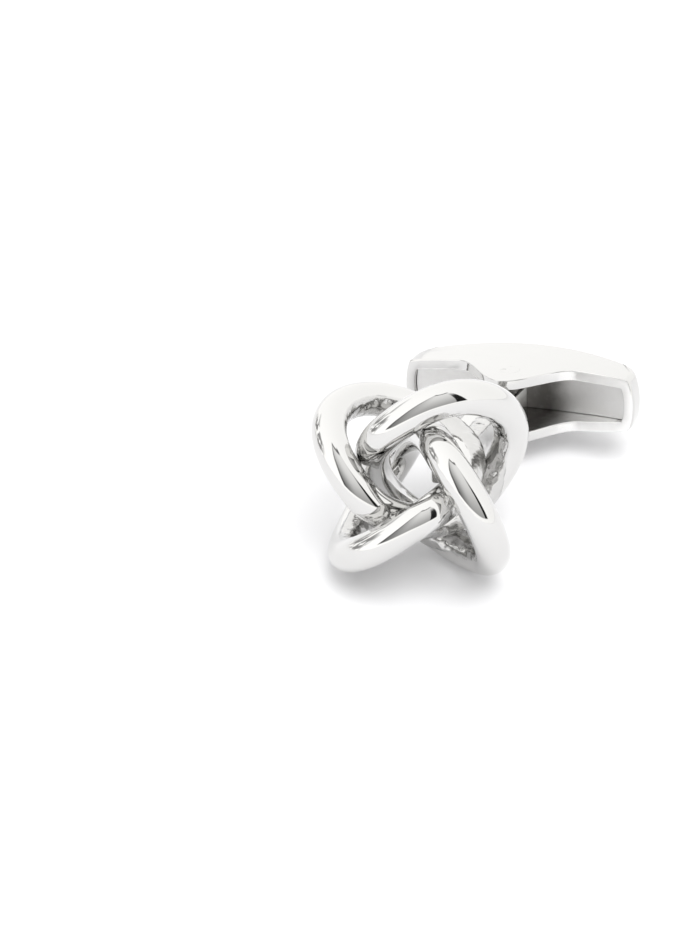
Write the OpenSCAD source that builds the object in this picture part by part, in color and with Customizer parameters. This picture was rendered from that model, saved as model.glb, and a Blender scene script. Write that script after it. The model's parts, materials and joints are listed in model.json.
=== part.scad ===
// A knot cufflink: an open knot of one endless round strand, soldered to a post,
// with a hollow swivel bar that turns on a pin through the post's end and has a plate let into it.
// It lies on a table on two loops of the knot and one end of the bar.

/* [Knot] */
// Diameter of the strand
strand_d = 2.66; // [2.2:0.02:2.7]
// Mean distance of the strand from the middle of the knot
loop_r = 5.08; // [5:0.02:5.4]
// How far the strand swings in and out of that distance
loop_swing = 2.36; // [2.3:0.02:2.6]
// Second wave of the swing, which makes the loops' ends rounder
loop_round = 0.72; // [0.5:0.02:0.8]
// Degrees by which a loop's two arms spread, seen from the front
arm_spread = 24.4; // [22:0.2:26]
// Half the depth of the knot, to the middle of the strand
half_depth = 4.9; // [4.6:0.1:5.4]
// Third wave of the depth, which flattens the arms' crowns
crown_flat = 0.38; // [0:0.02:0.5]
// Height of the knot as a share of its width
squat = 0.96; // [0.94:0.01:1.04]
// Number of sides round the strand
strand_sides = 14; // [10:1:16]
// Number of rings along each of the four loops
rings_per_loop = 40; // [30:1:40]

/* [Knot on its post] */
// Degrees by which the knot leans back against the post
knot_lean = 22.7; // [15:0.2:30]
// Degrees by which the knot faces sideways
knot_turn = 3.5; // [0:0.5:8]
// Degrees from the side to the middle of the first loop
knot_spin = 48.8; // [45:0.1:52]

/* [Post] */
// Distance from the middle of the knot to the pin
post_l = 16.7; // [16.3:0.1:17.5]
// Distance of the post from the knot's middle, to the side
post_side = 1.2; // [0.6:0.1:1.6]
// Width of the post
post_w = 2.6; // [2:0.1:2.7]
// Height of the post
post_h = 2.9; // [2.4:0.1:3]
// Distance from the middle of the knot to the post's soldered root
post_root = 3.2; // [3:0.1:4]
// Diameter of the pin
pin_d = 1.5; // [1.2:0.1:1.6]
// Radial play of the post on the pin
pin_play = 0.05; // [0.03:0.01:0.08]
// Radial gap of the pin in the bar's plates
pin_fit = 0.02; // [0.02:0.01:0.04]

/* [Swivel bar] */
// Length of the bar
bar_l = 19.3; // [17:0.1:19.5]
// Height of the bar over the pin
bar_h_mid = 5.4; // [5.2:0.1:6]
// Height of the bar at its ends
bar_h_end = 4.3; // [4:0.1:4.6]
// From the pin's axis to the front of the hub
hub_front = 2.5; // [2.2:0.1:2.6]
// From the pin's axis back to the arms' front edge
arm_front = 1.5; // [1.4:0.05:1.7]
// From the pin's axis back to the bar's back, at its ends
back_end = 3.9; // [3.6:0.1:4.2]
// From the pin's axis back to the bar's back, at its middle
back_mid = 6.5; // [6:0.1:6.8]
// Half the width of the swell of the front edge round the hub
swell_half = 5.1; // [4.8:0.1:5.4]
// How far the end faces bulge
end_bulge = 0.4; // [0.2:0.05:0.5]
// Radius of the bar's outer back corners
corner_r = 0.9; // [0.6:0.1:1.2]
// Thickness of the plates and walls
wall = 0.85; // [0.7:0.05:1]

/* [Inner plate] */
// From the pin's axis back to the inner plate's face, at its middle
plate_mid = 3.7; // [3.4:0.1:4]
// From the pin's axis back to the inner plate's face, at its ends
plate_end = 1.9; // [1.8:0.1:2.4]
// Thickness of the inner plate
plate_t = 0.4; // [0.3:0.05:0.6]
// Gap round the inner plate
plate_fit = 0.05; // [0.03:0.01:0.08]

/* [How it lies] */
// Degrees by which the post slopes down to the bar
lie_slope = 11.12; // [10:0.01:13]
// Degrees by which it rolls on to the bar's left end
lie_roll = 9.86; // [8:0.01:12]
// Height of the knot's middle above the table
lie_lift = 7.483; // [7:0.001:8]
// Place of the knot's middle across the lying piece
lie_x = -1.482; // [-2:0.001:0]
// Place of the knot's middle along the lying piece
lie_y = -7.669; // [-9:0.001:-6]

/* [Hidden] */
$fn = 96;
silver = [0.82, 0.82, 0.83];
LOOPS = 4;
TURNS = 3;
half_l = bar_l / 2;
big = 40;

// The strand's middle line: t runs through 360 degrees for each of the four loops
function way_round(t) = knot_spin + t * TURNS / LOOPS - arm_spread * sin(t);
function way_out(t) = loop_r + loop_swing * cos(t) + loop_round * cos(2 * t);
function strand_point(t) = [
    way_out(t) * cos(way_round(t)),
    squat * way_out(t) * sin(way_round(t)),
    half_depth * sin(t) + crown_flat * sin(3 * t)
];
function unit(v) = v / norm(v);
function strand_ahead(t) = unit(strand_point(t + 0.5) - strand_point(t - 0.5));
// A direction that leans out of the loop all the way round, made square to the strand
function leaning(t) = [
    half_depth * cos(t) * cos(way_round(t)),
    half_depth * cos(t) * sin(way_round(t)),
    loop_swing * sin(t)
];
function strand_out(t) = let (d = strand_ahead(t), v = leaning(t)) unit(v - (v * d) * d);
function ring(t) = let (d = strand_ahead(t), u = strand_out(t), v = cross(d, u))
    [for (i = [0 : strand_sides - 1]) let (q = 360 * i / strand_sides)
        strand_point(t) + (cos(q) * u + sin(q) * v) * strand_d / 2];

module strand() {
    rings = LOOPS * rings_per_loop;
    points = [for (j = [0 : rings - 1]) each ring(360 * LOOPS * j / rings)];
    corner = function (j, i) (j % rings) * strand_sides + i % strand_sides;
    faces = [for (j = [0 : rings - 1]) for (i = [0 : strand_sides - 1]) each [
        [corner(j, i), corner(j + 1, i + 1), corner(j, i + 1)],
        [corner(j, i), corner(j + 1, i), corner(j + 1, i + 1)]
    ]];
    polyhedron(points, faces);
}

// Places a piece, built with its post level, as it lies on the table
module lying() {
    translate([lie_x, lie_y, lie_lift]) rotate([-lie_slope, -lie_roll, 0]) children();
}

module at_pin() {
    translate([post_side, post_l, 0]) children();
}

module bored_post() {
    difference() {
        union() {
            translate([post_side - post_w / 2, post_root, -post_h / 2])
                cube([post_w, post_l - post_root, post_h]);
            at_pin() cylinder(h = post_h, d = post_w, center = true);
        }
        at_pin() cylinder(h = 2 * post_h, r = pin_d / 2 + pin_play, center = true);
    }
}

module knot() {
    color(silver) lying() {
        rotate([90, 0, 0]) rotate([-knot_lean, knot_turn, 0]) strand();
        bored_post();
    }
}

// Radius of a circle whose rise over the given half chord is sag
function arc_r(half_chord, sag) = (half_chord * half_chord + sag * sag) / (2 * sag);

back_r = arc_r(half_l, back_mid - back_end);
crown_r = arc_r(half_l, (bar_h_mid - bar_h_end) / 2);
end_r = arc_r(bar_h_end / 2, end_bulge);
corner_x = half_l - corner_r + end_bulge / 2;
corner_y = back_mid - back_r + sqrt(pow(back_r - corner_r, 2) - pow(corner_x, 2));

module back_corner() {
    translate([corner_x, corner_y]) difference() {
        polygon([[0, 0], [3 * corner_r, 0], [3 * corner_r, 3 * corner_r],
            3 * corner_r * unit([corner_x, corner_y - back_mid + back_r])]);
        circle(corner_r);
    }
}

// The front edge swells to the hub in one smooth wave
function front_edge(x) = arm_front - (arm_front + hub_front) * (1 + cos(180 * x / swell_half)) / 2;

module bar_outline() {
    steps = 12;
    difference() {
        intersection() {
            translate([0, back_mid - back_r]) circle(back_r, $fn = 256);
            polygon([
                [-big, arm_front],
                for (i = [-steps : steps]) let (x = swell_half * i / steps) [x, front_edge(x)],
                [big, arm_front], [big, big], [-big, big]
            ]);
        }
        back_corner();
        mirror([1, 0]) back_corner();
    }
}

// A slab crowned above and below, with bulging ends: the bar as it is seen from the front
module barrel(inset, end_inset) {
    end_x = half_l - end_r;
    intersection() {
        translate([0, 0, bar_h_mid / 2 - crown_r]) rod_across(crown_r - inset);
        translate([0, 0, crown_r - bar_h_mid / 2]) rod_across(crown_r - inset);
        union() {
            cube([2 * end_x, big, 2 * end_r - 2 * end_inset], center = true);
            translate([end_x, 0, 0]) rod_across(end_r - end_inset);
            translate([-end_x, 0, 0]) rod_across(end_r - end_inset);
        }
    }
}

module rod_across(r) {
    rotate([90, 0, 0]) cylinder(h = big, r = r, center = true, $fn = 256);
}

module swivel_bar() {
    color(silver) lying() at_pin() difference() {
        intersection() {
            linear_extrude(height = big, center = true) bar_outline();
            barrel(0, 0);
        }
        intersection() {
            translate([0, back_mid - back_r, 0])
                cylinder(h = big, r = back_r - wall, center = true, $fn = 256);
            barrel(wall, wall);
        }
        cylinder(h = big, r = pin_d / 2 + pin_fit, center = true);
    }
}

// The curved plate that is let into the bar and closes the space behind it
module inner_plate() {
    plate_r = arc_r(half_l - wall, plate_mid - plate_end);
    color(silver) lying() at_pin() translate([0, plate_mid - plate_r, 0]) difference() {
        intersection() {
            cylinder(h = big, r = plate_r + plate_t, center = true, $fn = 256);
            translate([0, plate_r, 0]) barrel(wall + plate_fit, wall + plate_fit);
        }
        cylinder(h = 2 * big, r = plate_r, center = true, $fn = 256);
    }
}

module pivot_pin() {
    color(silver) lying() at_pin() cylinder(h = bar_h_mid, d = pin_d, center = true);
}

knot();
swivel_bar();
inner_plate();
pivot_pin();
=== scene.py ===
# %% [markdown]
# # A knot cufflink of polished metal
# The subject is one cufflink: an open knot of round strand, soldered to a short post, and a hollow
# bar that swivels on a pin at the post's end. It lies on a white table in a white light tent.
# The sizes below are those of the model's own source, in millimetres. Blender works in metres, so
# each size is multiplied by MM, each piece is shaped in metres from the start, and nothing is scaled
# afterwards.

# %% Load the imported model
import json
from math import cos, degrees, pi, radians, sin, sqrt

import bmesh
import bpy
from mathutils import Matrix, Vector
from mathutils.bvhtree import BVHTree
from mathutils.kdtree import KDTree


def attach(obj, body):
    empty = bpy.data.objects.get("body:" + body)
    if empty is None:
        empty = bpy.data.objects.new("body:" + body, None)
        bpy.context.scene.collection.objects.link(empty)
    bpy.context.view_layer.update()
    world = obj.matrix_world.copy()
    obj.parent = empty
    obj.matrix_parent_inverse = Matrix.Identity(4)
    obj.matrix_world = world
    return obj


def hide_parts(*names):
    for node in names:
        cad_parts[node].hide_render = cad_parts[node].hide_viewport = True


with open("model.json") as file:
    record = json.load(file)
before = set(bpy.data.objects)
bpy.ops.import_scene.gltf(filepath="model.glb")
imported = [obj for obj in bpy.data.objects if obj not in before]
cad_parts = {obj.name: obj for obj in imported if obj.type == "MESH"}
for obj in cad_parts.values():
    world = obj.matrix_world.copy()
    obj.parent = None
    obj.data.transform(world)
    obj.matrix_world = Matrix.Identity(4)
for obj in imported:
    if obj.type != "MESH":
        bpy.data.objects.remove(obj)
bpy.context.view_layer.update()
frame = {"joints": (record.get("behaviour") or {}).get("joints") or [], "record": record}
MM = 0.001

# %% [markdown]
# ## The piece's own directions
# The cufflink lies askew: its post slopes down to the bar, and the whole piece is rolled to one side.
# Working in slanted coordinates is hard, so every piece is shaped upright, with the post along Y and
# the pin along Z, and then laid down by one matrix. The matrix could be typed in as angles. It is
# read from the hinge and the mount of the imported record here, so it can't disagree with the solids.
# There are two of these matrices: one for pieces shaped round the knot's middle, and one for pieces
# shaped round the pin.

# %% The matrices that lay a piece down
post_l = 16.7 * MM
post_side = 1.2 * MM
hinge = frame["joints"][0]
up = Vector(hinge["axis"]).normalized()
back = Vector(frame["record"]["mounts"][0]["axis"]).normalized()
right = back.cross(up)
turned = Matrix((right, back, up)).transposed().to_4x4()
at_pin = Matrix.Translation(Vector(hinge["pos_m"])) @ turned
lying = at_pin @ Matrix.Translation((-post_side, -post_l, 0))
print("the post slopes", round(90 - degrees(back.angle(Vector((0, 0, -1)))), 2), "degrees down")

# %% [markdown]
# ## The camera
# The photo looks down on the knot from its front and a little from its right. Three turns take the
# upright cufflink to the camera's view, and then the camera stands back from the knot's middle. It
# could be placed by hand in a viewport, but a matrix keeps the photo's framing exactly. The turns and
# the place were changed until the strand's outline and the bar's edges lay on the photo's, and the
# focal length follows from how much smaller the bar looks than the knot.

# %% The camera
IMAGE_W = 695
focal_px = 3082
view_pitch = radians(23.0)
view_yaw = radians(22.7)
view_roll = radians(3.08)
stand = Vector((-5.395, 1.022, 230)) * MM

camera_data = bpy.data.cameras.new("camera")
camera_data.sensor_fit = "HORIZONTAL"
camera_data.sensor_width = 36
camera_data.lens = focal_px / IMAGE_W * camera_data.sensor_width
camera_data.clip_start = 10 * MM
camera = bpy.data.objects.new("camera", camera_data)
bpy.context.scene.collection.objects.link(camera)
camera.matrix_world = (
    lying
    @ Matrix.Rotation(radians(90), 4, "X")
    @ Matrix.Rotation(-view_roll, 4, "Z")
    @ Matrix.Rotation(view_yaw, 4, "Y")
    @ Matrix.Rotation(-view_pitch, 4, "X")
    @ Matrix.Translation(stand)
)
bpy.context.scene.camera = camera
print("lens", round(camera_data.lens, 1), "mm, height", round(camera.matrix_world.translation.z, 3), "m")

# %% [markdown]
# ## Helpers for modelling by code
# Edit-mode operators act on what is selected. In a viewport the vertices are clicked; here they are
# picked by a test on their place. Everything is deselected before a primitive is added, because an
# operator would otherwise take the loaded nodes along.


# %% Helpers for selecting
def start_clean():
    """Deselects every object, so that the next operator touches only its own piece."""
    if bpy.context.mode != "OBJECT":
        bpy.ops.object.mode_set(mode="OBJECT")
    bpy.ops.object.select_all(action="DESELECT")


def make_active(piece):
    start_clean()
    piece.select_set(True)
    bpy.context.view_layer.objects.active = piece


def pick(kind, test):
    """Selects the vertices, edges or faces of the mesh in edit mode that pass a test."""
    mesh = bmesh.from_edit_mesh(bpy.context.object.data)
    bpy.ops.mesh.select_mode(type={"verts": "VERT", "edges": "EDGE", "faces": "FACE"}[kind])
    bpy.ops.mesh.select_all(action="DESELECT")
    chosen = [element for element in getattr(mesh, kind) if test(element)]
    for element in chosen:
        element.select_set(True)
    mesh.select_flush_mode()
    bmesh.update_edit_mesh(bpy.context.object.data)
    return len(chosen)


def same(a, b):
    """True for two lengths that differ by rounding alone."""
    return abs(a - b) < 0.001 * MM


def sharp(edge, least):
    """True for an edge where the surface turns by more than so many degrees."""
    return edge.is_manifold and edge.calc_face_angle(0) > radians(least)


def upright(edge):
    return abs(edge.verts[0].co.z - edge.verts[1].co.z) > 0.1 * MM


# %% [markdown]
# ## Helpers for finishing
# A modifier is a recipe that stays open to change. Here each recipe is applied as soon as it is set,
# and the mesh is what counts. A piece's place goes into its mesh too, and its object stays at the
# origin, because patterns on Object coordinates start there.


# %% Helpers for finishing
def named(name):
    """Names the primitive that was just added and puts its place into its mesh."""
    piece = bpy.context.object
    piece.name = name
    piece.data.name = name
    bpy.ops.object.transform_apply(location=True, rotation=True, scale=True)
    return piece


def apply_modifier(piece, kind, **settings):
    make_active(piece)
    modifier = piece.modifiers.new(kind.lower(), kind)
    for name, value in settings.items():
        setattr(modifier, name, value)
    bpy.ops.object.modifier_apply(modifier=modifier.name)


def cut_with(piece, tool, operation="DIFFERENCE"):
    """Adds or cuts one piece with another, which is used up."""
    apply_modifier(piece, "BOOLEAN", object=tool, operation=operation, solver="EXACT")
    bpy.data.objects.remove(tool)


def smooth(piece, below):
    """Shades a piece smooth, except over edges that turn by more than so many degrees."""
    make_active(piece)
    bpy.ops.object.shade_smooth_by_angle(angle=radians(below))


def count(piece):
    """The number of triangles in a finished piece."""
    return sum(len(face.vertices) - 2 for face in piece.data.polygons)


# %% [markdown]
# ## The strand's middle line
# The knot is one endless round strand in four loops, like a rope ornament cast in metal. It could be
# sculpted or built from four bent arms, but a real knot runs on without a seam. So its middle line is
# a formula: once round each loop while the whole turns three quarters of a circle, with a swing in
# and out, a wave in depth, and a spread of each loop's arms. In its functions t runs through one full
# circle for each of the four loops.

# %% The strand's middle line
LOOPS = 4
TURNS = 3
loop_r = 5.08 * MM
loop_swing = 2.36 * MM
loop_round = 0.72 * MM
half_depth = 4.9 * MM
crown_flat = 0.38 * MM
squat = 0.96
arm_spread = radians(24.4)
knot_spin = radians(48.8)


def angle_at(t):
    """The angle of the strand's middle line round the knot's middle."""
    return knot_spin + t * TURNS / LOOPS - arm_spread * sin(t)


def strand_point(t):
    """A point of the strand's middle line, seen from the knot's middle."""
    way_out = loop_r + loop_swing * cos(t) + loop_round * cos(2 * t)
    depth = half_depth * sin(t) + crown_flat * sin(3 * t)
    return Vector((way_out * cos(angle_at(t)), squat * way_out * sin(angle_at(t)), depth))


def loop_outward(t):
    """The direction that points out of a loop, all the way round it."""
    lean = half_depth * cos(t)
    return Vector((lean * cos(angle_at(t)), lean * sin(angle_at(t)), loop_swing * sin(t))).normalized()


print("the middle line reaches", round(strand_point(0).length / MM, 2), "mm out of the knot's middle")

# %% [markdown]
# ## The strand as a tube
# A NURBS circle is cut into many control points, which are put on the formula's line, and a round
# bevel makes it a tube. A string of short cylinders, or a circle extruded along the line, would look
# the same in grey. But polished metal shows the slightest kink, and a NURBS line is smooth in its
# curvature too. The knot leans back against its post and faces a little sideways.

# %% The strand as a tube
strand_r = 1.33 * MM
knot_turn = radians(3.5)
knot_lean = radians(22.7)
knot_stance = (
    Matrix.Rotation(radians(90), 4, "X")
    @ Matrix.Rotation(knot_turn, 4, "Y")
    @ Matrix.Rotation(-knot_lean, 4, "X")
)
knot_place = lying @ knot_stance

start_clean()
bpy.ops.curve.primitive_nurbs_circle_add(radius=loop_r)
strand = bpy.context.object
strand.name = "knot_strand"
bpy.ops.object.mode_set(mode="EDIT")
bpy.ops.curve.select_all(action="SELECT")
bpy.ops.curve.subdivide(number_cuts=39)
bpy.ops.object.mode_set(mode="OBJECT")
line = strand.data.splines[0]
for i, point in enumerate(line.points):
    t = 2 * pi * LOOPS * i / len(line.points)
    point.co = (knot_place @ strand_point(t)).to_4d()
line.use_bezier_u = False
line.use_endpoint_u = False
line.order_u = 4
line.resolution_u = 2
strand.data.dimensions = "3D"
strand.data.bevel_depth = strand_r
strand.data.bevel_resolution = 22
print("strand of", len(line.points), "control points,", round(line.calc_length() / MM, 1), "mm long")

# %% [markdown]
# ## From curve to mesh
# The post is joined to the strand by a Boolean, which needs a closed mesh. So vertices that lie on
# each other, as where a tube meets its own start, are merged, and then all faces are turned outwards.

# %% The strand as a mesh
bpy.ops.object.convert(target="MESH")
bpy.ops.object.mode_set(mode="EDIT")
bpy.ops.mesh.select_all(action="SELECT")
bpy.ops.mesh.remove_doubles(threshold=0.001 * MM)
bpy.ops.mesh.normals_make_consistent(inside=False)
bpy.ops.object.mode_set(mode="OBJECT")
print("strand", count(strand), "triangles")

# %% [markdown]
# ## The post
# A short bar of metal, 2.6 by 2.9 mm, runs from the knot's back to the swivel bar. Its far end is
# rounded and bored for the pin, and its root flares a little where the solder has run into the
# corner. A cube is the natural start: its two far edges are bevelled by half its width into a half
# round, its root face is extruded and widened three times for the flare, and the other edges are
# bevelled by a little. The half round stops a hair short, so that its two bevels don't meet.

# %% The post
post_w = 2.6 * MM
post_h = 2.9 * MM
post_root = 3.2 * MM
flare_l = 1.6 * MM
flare_steps = ((0.45, 1.05), (0.3, 1.09), (0.25, 1.12))
edge_r = 0.22 * MM
short_of_half = 0.999

start_clean()
post_end = post_l + post_w / 2
post_start = post_root + flare_l
bpy.ops.mesh.primitive_cube_add(
    size=1,
    location=(post_side, (post_start + post_end) / 2, 0),
    scale=(post_w, post_end - post_start, post_h),
)
post = named("post")
bpy.ops.object.mode_set(mode="EDIT")
pick("edges", lambda e: upright(e) and all(same(v.co.y, post_end) for v in e.verts))
bpy.ops.mesh.bevel(
    offset=post_w / 2 * short_of_half, segments=14, affect="EDGES", clamp_overlap=False
)
for share, widening in flare_steps:
    pick("faces", lambda f: f.normal.y < -0.99)
    bpy.ops.mesh.extrude_region_move(TRANSFORM_OT_translate={"value": (0, -flare_l * share, 0)})
    bpy.ops.transform.resize(value=(widening, 1, widening), center_override=(post_side, 0, 0))
pick("edges", lambda e: sharp(e, 40))
bpy.ops.mesh.bevel(offset=edge_r, segments=4, affect="EDGES")
bpy.ops.object.mode_set(mode="OBJECT")
print("post", count(post), "triangles before it is bored")

# %% [markdown]
# ## The bore
# The post turns on the pin with a little play. The hole could be cut from the cube's faces by hand,
# but a Boolean with a cylinder leaves a clean round hole and sharp rims at once.

# %% The bore
pin_r = 0.75 * MM
pin_play = 0.05 * MM

start_clean()
bpy.ops.mesh.primitive_cylinder_add(
    vertices=48, radius=pin_r + pin_play, depth=2 * post_h, location=(post_side, post_l, 0)
)
cut_with(post, named("bore"))
post.data.transform(lying)
print("post", count(post), "triangles")

# %% [markdown]
# ## Solder the post to the knot
# Soldered metal is one piece, so the two meshes are made one with a Boolean union. Simply leaving
# them stuck into each other would look almost the same, but there would be hidden faces inside.

# %% One knot
knot = strand
cut_with(knot, post, "UNION")
make_active(knot)
bpy.ops.object.mode_set(mode="EDIT")
bpy.ops.mesh.select_all(action="SELECT")
bpy.ops.mesh.remove_doubles(threshold=0.002 * MM)
bpy.ops.object.mode_set(mode="OBJECT")
smooth(knot, 35)
print("knot", count(knot), "triangles")

# %% [markdown]
# ## Where the casting's skin is left
# A polishing wheel reaches the outside of the knot only. Inside the loops the metal keeps the rough
# skin of its casting. It could be painted on by hand. Here an attribute called cast says how rough
# each vertex is: it grows where the strand faces into its own loop, and where the rest of the knot
# shuts off the way to it. For the first part, the nearest point of the middle line tells which way
# is out of the loop there.


# %% Which way is out of the loop
def ramp(value, low, high):
    """Runs smoothly from 0 at low to 1 at high."""
    share = min(max((value - low) / (high - low), 0), 1)
    return share * share * (3 - 2 * share)


LINE_POINTS = 720
near_line = KDTree(LINE_POINTS)
outward_at = []
for i in range(LINE_POINTS):
    t = 2 * pi * LOOPS * i / LINE_POINTS
    near_line.insert(knot_place @ strand_point(t), i)
    outward_at.append((knot_place.to_3x3() @ loop_outward(t)).normalized())
near_line.balance()
print("out of the loop is known at", len(outward_at), "points of the middle line")

# %% [markdown]
# ## Where a wheel can't reach
# The second part is measured as a wheel would feel it: rays are sent out of the surface, in a cone
# round its normal, and those that hit the knot again are counted. A vertex that is further from the
# middle line than the strand's own surface belongs to the post, so only the rays count there.

# %% The cast skin
RAYS = 10
ray_spread = radians(50)
ray_start = 0.05 * MM
ray_length = 6 * MM
surface = BVHTree.FromPolygons(
    [v.co for v in knot.data.vertices], [tuple(p.vertices) for p in knot.data.polygons]
)


def shut_off(vertex):
    """The share of the rays round a vertex's normal that hit the knot again."""
    normal = vertex.normal
    aside = normal.orthogonal().normalized()
    hits = 0
    for i in range(RAYS):
        leaning = Matrix.Rotation(2 * pi * i / RAYS, 3, normal) @ aside
        ray = normal * cos(ray_spread) + leaning * sin(ray_spread)
        hits += surface.ray_cast(vertex.co + normal * ray_start, ray, ray_length)[0] is not None
    return hits / RAYS


roughened = []
for vertex in knot.data.vertices:
    nearest, index, distance = near_line.find(vertex.co)
    inward = -vertex.normal.dot(outward_at[index]) if distance < 1.05 * strand_r else 0
    shut = ramp(shut_off(vertex), 0.35, 0.75)
    roughened.append(max(ramp(inward, 0.15, 0.7), 0.8 * shut * ramp(inward, -0.6, 0.2)))
cast = knot.data.attributes.new("cast", "FLOAT", "POINT")
cast.data.foreach_set("value", roughened)
print("cast skin on", round(100 * sum(roughened) / len(roughened)), "percent of the knot")

# %% [markdown]
# ## The swivel bar
# The bar is a hollow shell, open to the front: two crowned plates, a curved back wall and two end
# walls that bulge. Its front edge swells forward to a hub round the pin. It could be cut from solid
# shapes, but a shell with an even wall is easier to make as a skin, which is given its outline slice
# by slice. The outline is three functions of x, the distance from the pin along the bar.

# %% The bar's outline
bar_l = 19.3 * MM
bar_h_mid = 5.4 * MM
bar_h_end = 4.3 * MM
hub_front = 2.5 * MM
arm_front = 1.5 * MM
back_end = 3.9 * MM
back_mid = 6.5 * MM
swell_half = 5.1 * MM
half_l = bar_l / 2


def arc(half_chord, sag, x):
    """How far a round arc lies below its crown, at a distance x from the crown."""
    radius = (half_chord ** 2 + sag ** 2) / (2 * sag)
    return radius - sqrt(radius ** 2 - x ** 2)


def front_edge(x):
    if abs(x) > swell_half:
        return arm_front
    return arm_front - (arm_front + hub_front) * (1 + cos(pi * x / swell_half)) / 2


def back_edge(x):
    return back_mid - arc(half_l, back_mid - back_end, x)


def height(x):
    return bar_h_mid - 2 * arc(half_l, (bar_h_mid - bar_h_end) / 2, x)


print("the bar is", round((back_edge(0) - front_edge(0)) / MM, 1), "mm deep at the hub")

# %% [markdown]
# ## The bar's skin
# A box without its front face is cut by Bisect into slices along the bar, close together where the
# front edge swells, and into layers across its height.

# %% The bar's skin
SWELL_STEPS = 16
slices = [swell_half * i / SWELL_STEPS for i in range(-SWELL_STEPS, SWELL_STEPS + 1)]
for side in (-1, 1):
    slices += [side * (swell_half + i * MM) for i in (1, 2, 3)]
layers = (-0.3, -0.2, -0.1, 0, 0.1, 0.2, 0.3)

start_clean()
bpy.ops.mesh.primitive_cube_add(
    size=1, location=(0, (arm_front + back_end) / 2, 0), scale=(bar_l, back_end - arm_front, bar_h_mid)
)
bar = named("bar_shell")
bpy.ops.object.mode_set(mode="EDIT")
pick("faces", lambda f: f.normal.y < -0.9)
bpy.ops.mesh.delete(type="FACE")
for x in slices:
    bpy.ops.mesh.select_all(action="SELECT")
    bpy.ops.mesh.bisect(plane_co=(x, 0, 0), plane_no=(1, 0, 0))
for share in layers:
    bpy.ops.mesh.select_all(action="SELECT")
    bpy.ops.mesh.bisect(plane_co=(0, 0, bar_h_mid * share), plane_no=(0, 0, 1))
print("bar skin cut into", len(slices) + 1, "slices and", len(layers) + 1, "layers")

# %% [markdown]
# ## The bar's form
# Each slice is scaled to the bar's height there, and its front and back rows are moved to the
# outline. Then both ends are pulled in above and below their middle, which makes them bulge. Solidify
# gives the skin an even wall, inwards, so that the outline stays true.

# %% The bar's form and its wall
wall = 0.85 * MM
end_bulge = 0.4 * MM


def bulge_ends(end_x, heights):
    """Pulls both ends in, away from mid height, so that each is a round arc seen from the front."""
    for side in (-1, 1):
        for z in heights:
            pick("verts", lambda v: same(v.co.x, side * end_x) and same(v.co.z, z))
            bpy.ops.transform.translate(value=(-side * arc(bar_h_end / 2, end_bulge, z), 0, 0))


for x in slices + [-half_l, half_l]:
    pick("verts", lambda v: same(v.co.x, x))
    bpy.ops.transform.resize(value=(1, 1, height(x) / bar_h_mid), center_override=(x, 0, 0))
    for old_y, new_y in ((arm_front, front_edge(x)), (back_end, back_edge(x))):
        pick("verts", lambda v: same(v.co.x, x) and same(v.co.y, old_y))
        bpy.ops.transform.translate(value=(0, new_y - old_y, 0))
bulge_ends(half_l, [bar_h_end * share for share in (-0.5, *layers, 0.5)])
bpy.ops.object.mode_set(mode="OBJECT")
apply_modifier(bar, "SOLIDIFY", thickness=wall, offset=-1, use_even_offset=True)
print("bar with its wall", count(bar), "triangles")

# %% [markdown]
# ## The bar's edges
# A polished edge is never sharp. The upright corners at the back are rounded widely with the Bevel
# operator. The other edges get one Bevel modifier that reads a weight, so that the outer edges of the
# ends and the back are soft, and the other edges and the inside corners are fine, in a single pass.
# Three passes with three widths would cut into each other.

# %% The bar's round corners and soft edges
corner_r = 0.9 * MM
end_r = 0.38 * MM
rim_r = 0.08 * MM
crease_r = 0.1 * MM


def at_end(edge):
    """True for an edge on the outer face of one of the bar's ends."""
    return all(abs(v.co.x) > half_l - wall * 0.7 for v in edge.verts)


def at_back(edge):
    """True for an edge along the back wall, its round corners included."""
    return all(v.co.y > back_end - 1.2 * corner_r for v in edge.verts)


def at_corner(edge):
    return at_end(edge) and upright(edge) and edge.verts[0].co.y > back_end - 0.1 * MM


bpy.ops.object.mode_set(mode="EDIT")
bpy.ops.mesh.select_all(action="SELECT")
bpy.ops.mesh.normals_make_consistent(inside=False)
pick("edges", lambda e: sharp(e, 35) and at_corner(e))
bpy.ops.mesh.bevel(offset=corner_r, segments=8, affect="EDGES", clamp_overlap=False)
for radius, test in (
    (end_r, lambda e: e.is_convex and (at_end(e) or at_back(e))),
    (rim_r, lambda e: e.is_convex and not (at_end(e) or at_back(e))),
    (crease_r, lambda e: not e.is_convex),
):
    chosen = pick("edges", lambda e: sharp(e, 35) and test(e))
    bpy.ops.transform.edge_bevelweight(value=radius / end_r)
    print(chosen, "edges get a radius of", round(radius / MM, 2), "mm")
bpy.ops.object.mode_set(mode="OBJECT")
apply_modifier(bar, "BEVEL", width=end_r, segments=4, limit_method="WEIGHT", use_clamp_overlap=False)

# %% [markdown]
# ## The holes for the pin
# The pin goes through both plates of the bar, and sits in them almost without a gap. After the
# Boolean the large faces must stay flat in the shading beside their narrow rounds, which is what
# Weighted Normal is for: it lets the largest face decide.

# %% The holes for the pin
hole_gap = 0.005 * MM

start_clean()
bpy.ops.mesh.primitive_cylinder_add(vertices=64, radius=pin_r + hole_gap, depth=2 * bar_h_mid)
cut_with(bar, named("pin_holes"))
smooth(bar, 32)
apply_modifier(bar, "WEIGHTED_NORMAL", mode="FACE_AREA", keep_sharp=True)
print("bar", count(bar), "triangles")
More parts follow.
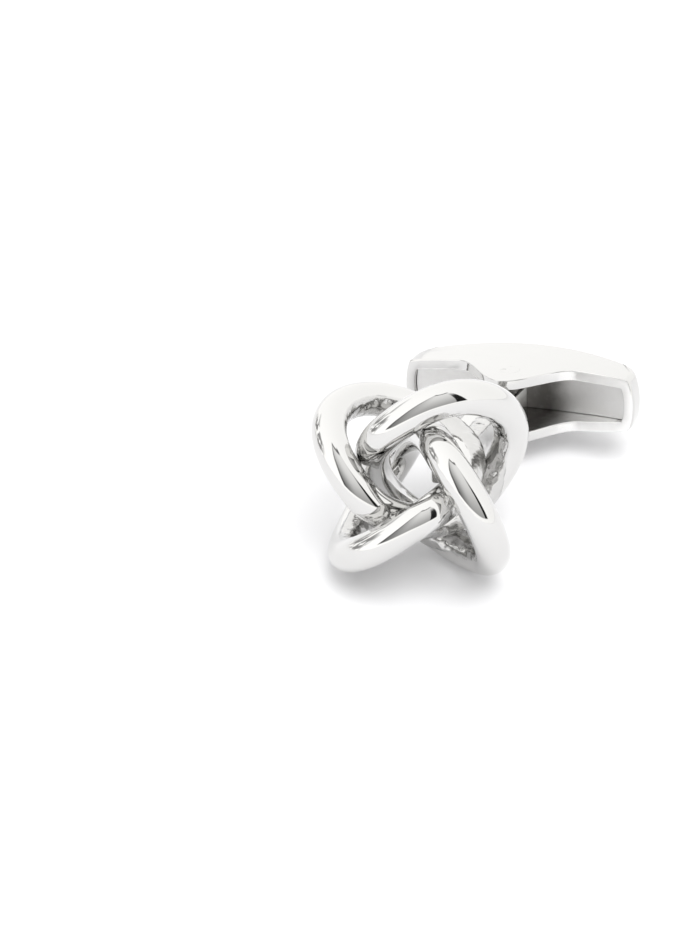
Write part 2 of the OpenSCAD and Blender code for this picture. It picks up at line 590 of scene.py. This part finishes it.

# %% [markdown]
# ## Where the bar's metal is satin, with painted light and shade
# No wheel gets into the bar's cavity, so the metal is satin there. Its colour is painted too: painted
# shade beside the hub, and painted light, nearly white, further along the arms. The front rim of the
# right arm is satin too, and painted lighter. A second material would need a border along faces. An
# attribute called dull can fade along the arms instead: it is 1 beside the hub, falls
# to about a third along each arm, and is about a quarter on that rim.

# %% Where the metal is satin, with painted light and shade
# The painted shade is full up to the first distance from the pin, and turns into painted light by the
# second.
painted_shade_to = 1.6 * MM
painted_light_from = 4.4 * MM
fade = 0.7
# The right arm's front rim is a little satin and painted lighter.
rim_satin_and_painted_light = 0.24
rim_depth = 0.03 * MM
hair = 0.05 * MM


def mark_dull_and_painted_light(piece, reach):
    """Writes how satin a piece's vertices are and where light and shade are painted on them, as far as a
    cavity reaches from the pin.
    """
    values = []
    for vertex in piece.data.vertices:
        x, y, z = vertex.co
        in_height = abs(z) < height(x) / 2 - wall + hair
        in_cavity = in_height and y < back_edge(x) - 0.9 * wall and abs(x) < reach
        # Painted shade beside the hub, fading to painted light along the arms; the whole cavity is satin.
        shade = (1 - fade * ramp(abs(x), painted_shade_to, painted_light_from)) * in_cavity
        # The right arm's front rim: a little satin, and painted lighter.
        on_rim = ramp(x, swell_half * 0.4, swell_half * 1.2) * (y < front_edge(x) + rim_depth)
        values.append(max(shade, rim_satin_and_painted_light * on_rim))
    dull = piece.data.attributes.new("dull", "FLOAT", "POINT")
    dull.data.foreach_set("value", values)
    print(piece.name, "is dull at", sum(value > 0 for value in values), "of", len(values), "vertices")


mark_dull_and_painted_light(bar, half_l - wall - end_bulge)
bar.data.transform(at_pin)

# %% [markdown]
# ## The inner plate
# A thin curved plate is let into the bar and closes the space behind it. Its seam shows as a fine dark
# line. A plain grid is enough: each column of it is scaled to the bar's inner height and bent back to
# the plate's arc, the ends bulge as the bar's do, and Solidify makes it as thick as sheet metal.

# %% The inner plate
plate_mid = 3.7 * MM
plate_end = 1.9 * MM
plate_t = 0.4 * MM
plate_fit = 0.05 * MM
plate_reach = half_l - wall - plate_fit
COLUMNS = 36

start_clean()
bpy.ops.mesh.primitive_grid_add(x_subdivisions=COLUMNS, y_subdivisions=6, size=1, rotation=(pi / 2, 0, 0))
plate = named("let_in_plate")
bpy.ops.object.mode_set(mode="EDIT")
bpy.ops.mesh.select_all(action="SELECT")
bpy.ops.transform.resize(value=(2 * plate_reach, 1, 1), center_override=(0, 0, 0))
for i in range(COLUMNS + 1):
    x = plate_reach * (2 * i / COLUMNS - 1)
    pick("verts", lambda v: same(v.co.x, x))
    tall = height(x) - 2 * (wall + plate_fit)
    bpy.ops.transform.resize(value=(1, 1, tall), center_override=(x, 0, 0))
    back_to = plate_mid - arc(half_l - wall, plate_mid - plate_end, x)
    bpy.ops.transform.translate(value=(0, back_to, 0))
plate_verts = bmesh.from_edit_mesh(plate.data).verts
bulge_ends(plate_reach, [v.co.z for v in plate_verts if same(v.co.x, plate_reach)])
bpy.ops.object.mode_set(mode="OBJECT")
apply_modifier(plate, "SOLIDIFY", thickness=plate_t, offset=-1)
smooth(plate, 32)
mark_dull_and_painted_light(plate, half_l)
plate.data.transform(at_pin)
print("inner plate", count(plate), "triangles")

# %% [markdown]
# ## The pin
# A riveted pin holds the bar on the post. Its ends are filed flush with the plates and polished with
# them, so that the ring hardly shows. A cylinder is right for it. A punch has left a dimple in its end,
# beside the middle: a small sphere cuts it.

# %% The pin
punch_r = 0.2 * MM
punch_aside = 0.53 * MM
punch_above = 0.11 * MM

start_clean()
bpy.ops.mesh.primitive_cylinder_add(vertices=64, radius=pin_r, depth=bar_h_mid)
pin = named("rivet_pin")
start_clean()
bpy.ops.mesh.primitive_uv_sphere_add(
    radius=punch_r, location=(-punch_aside, 0, bar_h_mid / 2 + punch_above)
)
cut_with(pin, named("punch"))
smooth(pin, 30)
pin.data.transform(at_pin)
print("pin", count(pin), "triangles")

# %% [markdown]
# ## Shader maths as plain expressions
# A material is a graph of nodes, and building one in code soon becomes unreadable. This class wraps
# a node's output, so that sums on it add the Math nodes by themselves.


# %% A socket that can be reckoned with
class Wire:
    """An output socket in a node tree. Arithmetic on it adds Math nodes."""

    def __init__(self, tree, socket=None):
        self.tree = tree
        self.socket = socket

    def node(self, kind, settings=None, inputs=None, output=0):
        """Adds any node: its settings first, then values or links for its inputs."""
        new = self.tree.nodes.new(kind)
        for name, value in (settings or {}).items():
            if name == "stops":
                while len(new.color_ramp.elements) < len(value):
                    new.color_ramp.elements.new(0.5)
                for element, (place, colour) in zip(new.color_ramp.elements, value):
                    element.position = place
                    element.color = (*colour, 1)
            else:
                setattr(new, name, value)
        for name, value in (inputs or {}).items():
            if isinstance(value, Wire):
                self.tree.links.new(value.socket, new.inputs[name])
            else:
                new.inputs[name].default_value = value
        return Wire(self.tree, new.outputs[output])

    def other(self, output):
        """Another output of the same node."""
        return Wire(self.tree, self.socket.node.outputs[output])

    def feed(self, target, name):
        """Links this output to an input of a node that is there already."""
        self.tree.links.new(self.socket, target.inputs[name])

    def maths(self, operation, *values):
        return self.node("ShaderNodeMath", {"operation": operation}, dict(enumerate(values)))

    def __add__(self, other):
        return self.maths("ADD", self, other)

    def __sub__(self, other):
        return self.maths("SUBTRACT", self, other)

    def __rsub__(self, other):
        return self.maths("SUBTRACT", other, self)

    def __mul__(self, other):
        return self.maths("MULTIPLY", self, other)

    def between(self, low, high):
        """0 below low, 1 above high and smooth in between."""
        return self.node(
            "ShaderNodeMapRange",
            {"interpolation_type": "SMOOTHSTEP"},
            {"Value": self, "From Min": low, "From Max": high},
        )

    def band(self, up_from, up_to, down_from, down_to):
        """1 between two smooth slopes, and 0 outside them."""
        return self.between(up_from, up_to) * (1 - self.between(down_from, down_to))

    __radd__ = __add__
    __rmul__ = __mul__


# %% [markdown]
# ## What the materials share
# Every material starts from a Principled shader and from noise on the piece's own coordinates. Noise
# is given in waves per millimetre, so that a pattern has the same size on every piece.


# %% A new material and its noise
def new_material(name):
    """A material, its Principled shader and the piece's own coordinates in it."""
    material = bpy.data.materials.new(name)
    material.use_nodes = True
    place = Wire(material.node_tree).node("ShaderNodeTexCoord", output="Object")
    return material, material.node_tree.nodes["Principled BSDF"], place


def noise(place, per_mm, detail=2.0, rough=0.5):
    return place.node(
        "ShaderNodeTexNoise", None,
        {"Vector": place, "Scale": per_mm / MM, "Detail": detail, "Roughness": rough},
    )


# %% [markdown]
# ## The polish
# The finish is bright polished plate, a little warm. A perfect mirror looks like a computer's, so the
# polish gets what a hand-held wheel leaves: a faint long wave in the surface, which makes the edges
# of reflections wander, hair-fine scratches that only change the roughness, and a haze. The scratches
# are noise on coordinates that a Mapping node turns and squeezes, so that it is drawn out one way.
# The haze goes into the finishes' colours as well, very faintly.


# %% The polish
def polish(place):
    """The roughness and the relief that a polishing wheel leaves, and the haze in them."""
    haze = noise(place, 1.3, 4.0)
    squeezed = place.node(
        "ShaderNodeMapping", None, {"Vector": place, "Scale": (9, 1, 9), "Rotation": (0.4, 0.3, 0.9)}
    )
    hairs = noise(squeezed, 2.2, 3.0, 0.6).between(0.6, 0.72)
    roughness = 0.035 + haze.between(0.4, 0.75) * 0.03 + hairs * 0.05
    return roughness, noise(place, 0.35, 1.0) * 0.6, haze


# %% [markdown]
# ## The casting's skin, the satin and its painted light
# Where the attribute cast is high, a hammered skin with grains of about two thirds of a millimetre
# takes over, rougher and darker than the polish. Where the attribute dull is high,
# the metal is satin, and its colour is painted: painted light, nearly white, where the value is about a
# third, and painted shade at its highest, beside the hub. The alternative, two materials with a
# border, would show a hard line that the real piece doesn't have.


# %% The two finishes
def with_cast_skin(place, roughness, relief, haze):
    """The knot's finish: its roughness and relief, and a tone with the colours that it runs through."""
    skin = place.node("ShaderNodeAttribute", {"attribute_name": "cast"}, output="Fac")
    pits = place.node(
        "ShaderNodeTexVoronoi", {"feature": "SMOOTH_F1"}, {"Vector": place, "Scale": 1.5 / MM}
    )
    edge = (skin + (noise(place, 0.8) - 0.5) * 0.5).between(0.42, 0.85)
    roughness = roughness + edge * 0.12
    relief = relief + edge * (noise(place, 1.15, 1.5, 0.4) * 2.2 + pits * 1.3)
    colours = ((0.0, (0.68, 0.676, 0.666)), (1.0, (0.2, 0.196, 0.19)))
    return roughness, relief, edge * 0.2 + haze * 0.02, colours


def with_satin_and_painted_light(place, roughness, relief, haze):
    """The bar's finish, in the same form: satin, with painted light and shade in its colour."""
    dullness_and_painted_light = place.node("ShaderNodeAttribute", {"attribute_name": "dull"}, output="Fac")
    roughness = roughness + 0.03 + dullness_and_painted_light.between(0.0, 0.3) * 0.38
    # Polished plating at 0, painted light at about a third, painted shade at 1 beside the hub.
    colours = ((0.0, (0.64, 0.636, 0.626)), (0.3, (1.0, 0.996, 0.988)), (1.0, (0.26, 0.25, 0.24)))
    return roughness, relief, dullness_and_painted_light * (0.8 + haze * 0.4), colours


# %% [markdown]
# ## The metal
# Both metals are the same graph with another finish in it: the finish gives the roughness, the
# relief for a Bump node, and a tone that a colour ramp turns into the plating's colour, which on the
# bar holds its painted light and shade.

# %% The metal
relief_depth = 0.06 * MM


def metal(name, finish):
    material, shader, place = new_material(name)
    roughness, relief, tone, colours = finish(place, *polish(place))
    colour = place.node("ShaderNodeValToRGB", {"stops": colours}, {"Fac": tone}, output="Color")
    bump = place.node(
        "ShaderNodeBump", None, {"Height": relief, "Distance": relief_depth, "Strength": 1.0}
    )
    colour.feed(shader, "Base Color")
    roughness.feed(shader, "Roughness")
    bump.feed(shader, "Normal")
    shader.inputs["Metallic"].default_value = 1
    return material


knot_metal = metal("plated_knot", with_cast_skin)
bar_metal = metal("plated_bar", with_satin_and_painted_light)
for piece, material in ((knot, knot_metal), (bar, bar_metal), (plate, bar_metal), (pin, bar_metal)):
    piece.data.materials.clear()
    piece.data.materials.append(material)
print("materials", [m.name for m in bpy.data.materials])

# %% [markdown]
# ## The table
# The cufflink lies on overexposed white card. A pure white floor would do for the eye, but it would
# glare in the metal, so the card is a little mottled and not quite white. It glows faintly, which
# lightens its shadows as overexposure does.

# %% The table
card_light = (0.87, 0.87, 0.88, 1)
card_grey = (0.84, 0.84, 0.855, 1)
card_glow = 0.12
table_side = 3

start_clean()
bpy.ops.mesh.primitive_plane_add(size=table_side)
table = named("table")
card, card_shader, card_place = new_material("white_card")
card_colour = card_place.node(
    "ShaderNodeMix",
    {"data_type": "RGBA"},
    {"Factor": noise(card_place, 0.06, 3.0), "A": card_light, "B": card_grey},
    output="Result",
)
card_colour.feed(card_shader, "Base Color")
for name, value in (
    ("Roughness", 0.9),
    ("Specular IOR Level", 0.1),
    ("Emission Strength", card_glow),
    ("Emission Color", (1, 1, 1, 1)),
):
    card_shader.inputs[name].default_value = value
table.data.materials.append(card)
print("table of", round(table.dimensions.x, 1), "m")

# %% [markdown]
# ## The light tent
# Polished metal shows its surroundings and nothing else. In the photo these are a white tent with one
# opening towards the camera. The world's background is that tent. A real box of white walls would
# work too, but it would stand in the way of every other view. A direction gives a bearing, which is
# 0 towards the front and grows to the right, and a rise over the table. Both are in degrees.

# %% The bearing and the rise of a direction
world = bpy.data.worlds.new("tent")
bpy.context.scene.world = world
world.use_nodes = True
sky = Wire(world.node_tree)
direction = sky.node("ShaderNodeTexCoord", output="Generated")
east = sky.node("ShaderNodeSeparateXYZ", None, {"Vector": direction})
north, high = east.other(1), east.other(2)
around = sky.maths("ARCTAN2", east, 0 - north)
above = sky.maths("ARCSINE", high)
bearing = sky.maths("DEGREES", around)
rise = sky.maths("DEGREES", above)
print("the tent's world is", world.name)

# %% [markdown]
# ## The opening
# The opening makes the crisp dark lens on each front arm. A mask of smooth steps cuts it out of the
# white. Through it the room is seen, dim at the bottom and lighter above, shaded at its left and
# hidden by a dark tent post at its right. Its left and top edges have dark hems, which draw the
# sharp dark ends of the lenses.

# %% The opening and the room behind it
opening_left = -24
opening_right = 74
opening_low = 7
opening_top = 80
soft = 1
post_wide = 13
shade_wide = 38
hem_wide = 9

opening = bearing.band(opening_left - soft, opening_left + soft, opening_right - soft, opening_right + soft)
opening = opening * rise.band(opening_low, opening_low + 3, opening_top - soft, opening_top + soft)
room = 0.42 + rise.between(-10, 84) * 0.72
shade_depth = 0.62 - rise.between(0, 75) * 0.45
left_shade = (1 - bearing.between(opening_left, opening_left + shade_wide)) * shade_depth
post_from = opening_right - post_wide
tent_post = bearing.between(post_from - 2, post_from) * (1 - rise.between(48, 74))
hem = 1 - bearing.between(opening_left, opening_left + hem_wide)
top_hem = rise.between(opening_top - 5, opening_top - 3)
room = room * (1 - left_shade) * (1 - tent_post * 0.97) * (1 - hem * 0.7) * (1 - top_hem * 0.8)
print("tent opening from", opening_left, "to", opening_right, "degrees, up to", opening_top)

# %% [markdown]
# ## The tent's cloth
# The cloth is brightest at the front left, where its light falls on it, and dims gently round the
# piece. Low on the left it is creased and patchy, which gives the knot's left side some life.

# %% The tent's cloth
tent_white = 1.42
towards_light = sky.maths("COSINE", around + radians(45)) * sky.maths("COSINE", above)
creases = sky.node("ShaderNodeTexNoise", None, {"Vector": direction, "Scale": 5.0, "Detail": 2.0})
low_left = bearing.band(-130, -105, -70, -50) * rise.band(-2, 4, 24, 36)
walls = tent_white + towards_light * 0.11
walls = walls * (1 - low_left * creases.between(0.46, 0.54) * 0.75)
print("the tent's white is", tent_white)

# %% [markdown]
# ## What sees the tent
# The camera sees plain white behind the piece, and the metal sees the whole tent. The table gets less
# of the tent's light than the metal does, so that the lamp's short shadow shows on it. A Light Path
# node tells the three apart: they could be rendered apart and mixed, but this is one step.

# %% What the camera, the metal and the table see
table_loss = 0.3
brightness = walls * (1 - opening) + room * opening
seen = sky.node("ShaderNodeLightPath", output="Is Camera Ray")
brightness = brightness * (1 - seen.other("Is Diffuse Ray") * table_loss) * (1 - seen) + seen * tent_white
backdrop = world.node_tree.nodes["Background"]
backdrop.inputs["Color"].default_value = (1, 0.998, 0.99, 1)
brightness.feed(backdrop, "Strength")
print("world nodes", len(world.node_tree.nodes))

# %% [markdown]
# ## The lamp
# The photo's shadows are short and soft and stay close under the piece. So a wide lamp hangs high over
# the tent, a little in front of the piece and to its right. It is behind cloth, so it lights the table
# but isn't itself seen in the metal. The view transform is Standard, which keeps white card white.

# %% The lamp over the tent
lamp_place = Vector((0.24, -0.3, 0.85))
lamp_wide = 0.6
lamp_watts = 5.2

lamp_data = bpy.data.lights.new("lamp", "AREA")
lamp_data.shape = "DISK"
lamp_data.size = lamp_wide
lamp_data.energy = lamp_watts
lamp = bpy.data.objects.new("lamp", lamp_data)
bpy.context.scene.collection.objects.link(lamp)
lamp.visible_glossy = False
lamp.matrix_world = Matrix.Translation(lamp_place) @ lamp_place.to_track_quat("Z", "Y").to_matrix().to_4x4()
bpy.context.scene.view_settings.view_transform = "Standard"
bpy.context.scene.view_settings.look = "None"
print("lamp", round(lamp_place.length, 2), "m from the table's middle")

# %% [markdown]
# ## Tie the pieces to the moving model
# The knot rides on the head. The bar, its inner plate and its pin ride on the swivelling body, so they
# turn when the hinge is posed. Each stands for the solid of the same piece.

# %% Ride, replace and finish
ties = (
    (knot, "head", "knot"),
    (bar, "bar", "swivel_bar"),
    (plate, "bar", "inner_plate"),
    (pin, "bar", "pivot_pin"),
)
for piece, body, node in ties:
    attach(piece, body)
    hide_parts(node)
bpy.context.view_layer.update()
